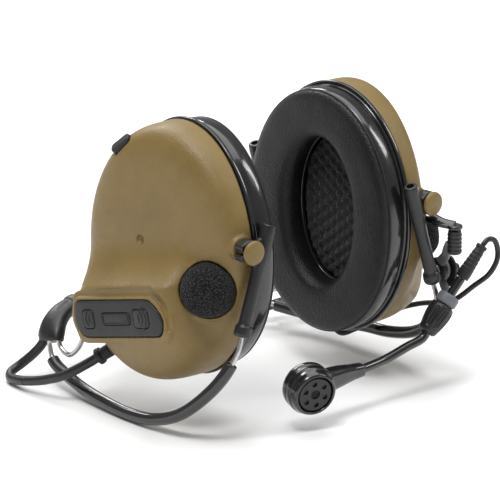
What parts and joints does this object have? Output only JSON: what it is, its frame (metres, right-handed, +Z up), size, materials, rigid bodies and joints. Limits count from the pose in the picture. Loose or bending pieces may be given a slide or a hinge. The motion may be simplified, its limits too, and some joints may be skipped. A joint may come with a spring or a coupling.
{
  "type": "neckband radio headset",
  "caption": "Behind-the-neck ear-defender headset with oval padded cups, a keypad, spring-wire arms and a swivelling boom microphone.",
  "frame": {"origin": "under the middle of the headset as it stands, on the surface it rests on", "axes": "+Z up, the wearer faces -Y and the wearer's left is +X, so the neckband is at +Y and the boom microphone at -Y"},
  "size_m": [0.1614, 0.1503, 0.128],
  "materials": {
    "khaki_plastic": "fine-textured coyote-brown moulded nylon, satin",
    "gloss_black": "smooth glossy black",
    "satin_black": "satin moulded black",
    "grey_plastic": "satin dark grey",
    "rubber": "matt black moulded rubber",
    "cushion_skin": "grained soft black artificial leather",
    "foam": "open-cell black foam",
    "steel": "drawn stainless spring steel",
    "battery_jacket": "shrink sleeve, plain",
    "board_green": "solder-masked circuit board"
  },
  "bodies": {
    "neckband": {"neckband_cover": "gloss_black"},
    "right_side": {"right_junction": "satin_black", "right_front_wire": "steel", "right_rear_wire": "steel", "right_wire_tube": "gloss_black"},
    "right_arms": {"right_front_arm": "satin_black", "right_rear_arm": "satin_black"},
    "right_cup": {"right_cup_shell": "khaki_plastic", "right_base_ring": "gloss_black", "right_ear_cushion": "cushion_skin", "right_foam_liner": "foam", "right_speaker": "satin_black", "right_circuit_board": "board_green", "right_front_pivot_stud": "khaki_plastic", "right_rear_pivot_stud": "khaki_plastic", "right_mic_windscreen": "foam", "right_ambient_mic": "steel", "right_blanking_plug": "rubber", "right_cable_gland": "rubber", "right_keypad_pad": "rubber", "right_cup_cable": "rubber"},
    "key_rear": {"right_button_rear": "rubber"},
    "key_middle": {"right_button_middle": "rubber"},
    "key_front": {"right_button_front": "rubber"},
    "left_side": {"left_junction": "satin_black", "left_front_wire": "steel", "left_rear_wire": "steel", "left_wire_tube": "gloss_black"},
    "left_arms": {"left_front_arm": "satin_black", "left_rear_arm": "satin_black"},
    "left_cup": {"left_cup_shell": "khaki_plastic", "left_base_ring": "gloss_black", "left_ear_cushion": "cushion_skin", "left_foam_liner": "foam", "left_speaker": "satin_black", "left_circuit_board": "board_green", "left_front_pivot_stud": "khaki_plastic", "left_rear_pivot_stud": "khaki_plastic", "left_mic_windscreen": "foam", "left_ambient_mic": "steel", "left_blanking_plug": "rubber", "left_cable_gland": "rubber", "left_battery_cell": "battery_jacket", "left_mic_cable_boot": "rubber", "left_cup_cable": "rubber", "boom_bracket": "satin_black", "mic_cable": "rubber"},
    "hatch": {"left_battery_hatch": "satin_black"},
    "link": {"boom_link": "satin_black"},
    "hoop": {"boom_hoop": "grey_plastic", "boom_tilt_pin": "steel", "boom_tilt_cover": "satin_black"},
    "knob": {"clamp_knob": "satin_black"},
    "boom": {"boom_rod": "gloss_black", "boom_strain_relief": "rubber", "mic_housing": "gloss_black", "mic_grille": "satin_black"}
  },
  "joints": [
    {"name": "right_spread", "type": "hinge", "parent": "neckband", "child": "right_side", "pos_m": [-0.042, 0.0586, 0.0306], "axis": [0, 0, -1], "range_deg": [-3, 10], "stiffness_Nm_per_rad": 3},
    {"name": "right_height", "type": "slide", "parent": "right_side", "child": "right_arms", "axis": [0.3087, -0.0148, 0.951], "range_m": [-0.004, 0.01], "deforming": ["right_cup_cable"]},
    {"name": "right_tilt", "type": "hinge", "parent": "right_arms", "child": "right_cup", "pos_m": [-0.04899, -0.01431, 0.0826], "axis": [0.048, 0.9988, 0], "range_deg": [-12, 12]},
    {"name": "press_key_rear", "type": "slide", "parent": "right_cup", "child": "key_rear", "axis": [0.9974, 0.0714, 0], "range_m": [0, 0.0008], "stiffness_N_per_m": 2500},
    {"name": "press_key_middle", "type": "slide", "parent": "right_cup", "child": "key_middle", "axis": [0.9974, 0.0714, 0], "range_m": [0, 0.0008], "stiffness_N_per_m": 2500},
    {"name": "press_key_front", "type": "slide", "parent": "right_cup", "child": "key_front", "axis": [0.9974, 0.0714, 0], "range_m": [0, 0.0008], "stiffness_N_per_m": 2500},
    {"name": "left_spread", "type": "hinge", "parent": "neckband", "child": "left_side", "pos_m": [0.0358, 0.0652, 0.0137], "axis": [0, 0, 1], "range_deg": [-3, 10], "stiffness_Nm_per_rad": 3},
    {"name": "left_height", "type": "slide", "parent": "left_side", "child": "left_arms", "axis": [-0.3087, -0.0148, 0.951], "range_m": [-0.004, 0.01], "deforming": ["left_cup_cable"]},
    {"name": "left_tilt", "type": "hinge", "parent": "left_arms", "child": "left_cup", "pos_m": [0.04899, -0.01431, 0.0826], "axis": [0.048, -0.9988, 0], "range_deg": [-2, 12]},
    {"name": "hatch_pull", "type": "slide", "parent": "left_cup", "child": "hatch", "axis": [0.9974, -0.0714, 0], "range_m": [0, 0.012]},
    {"name": "boom_swing", "type": "hinge", "parent": "left_cup", "child": "link", "pos_m": [0.0574, -0.0706, 0.0718], "axis": [0, 0, 1], "range_deg": [0, 8], "deforming": ["mic_cable"]},
    {"name": "boom_tilt", "type": "hinge", "parent": "link", "child": "hoop", "pos_m": [0.0631, -0.0553, 0.0491], "axis": [1, 0, 0], "range_deg": [-35, 0]},
    {"name": "boom_turn", "type": "hinge", "parent": "hoop", "child": "knob", "pos_m": [0.0563, -0.0677, 0.0399], "axis": [0.6287, -0.1197, 0.7684], "range_deg": [0, 60]},
    {"name": "boom_reach", "type": "slide", "parent": "knob", "child": "boom", "axis": [-0.6287, 0.1197, -0.7684], "range_m": [0, 0.007]}
  ]
}
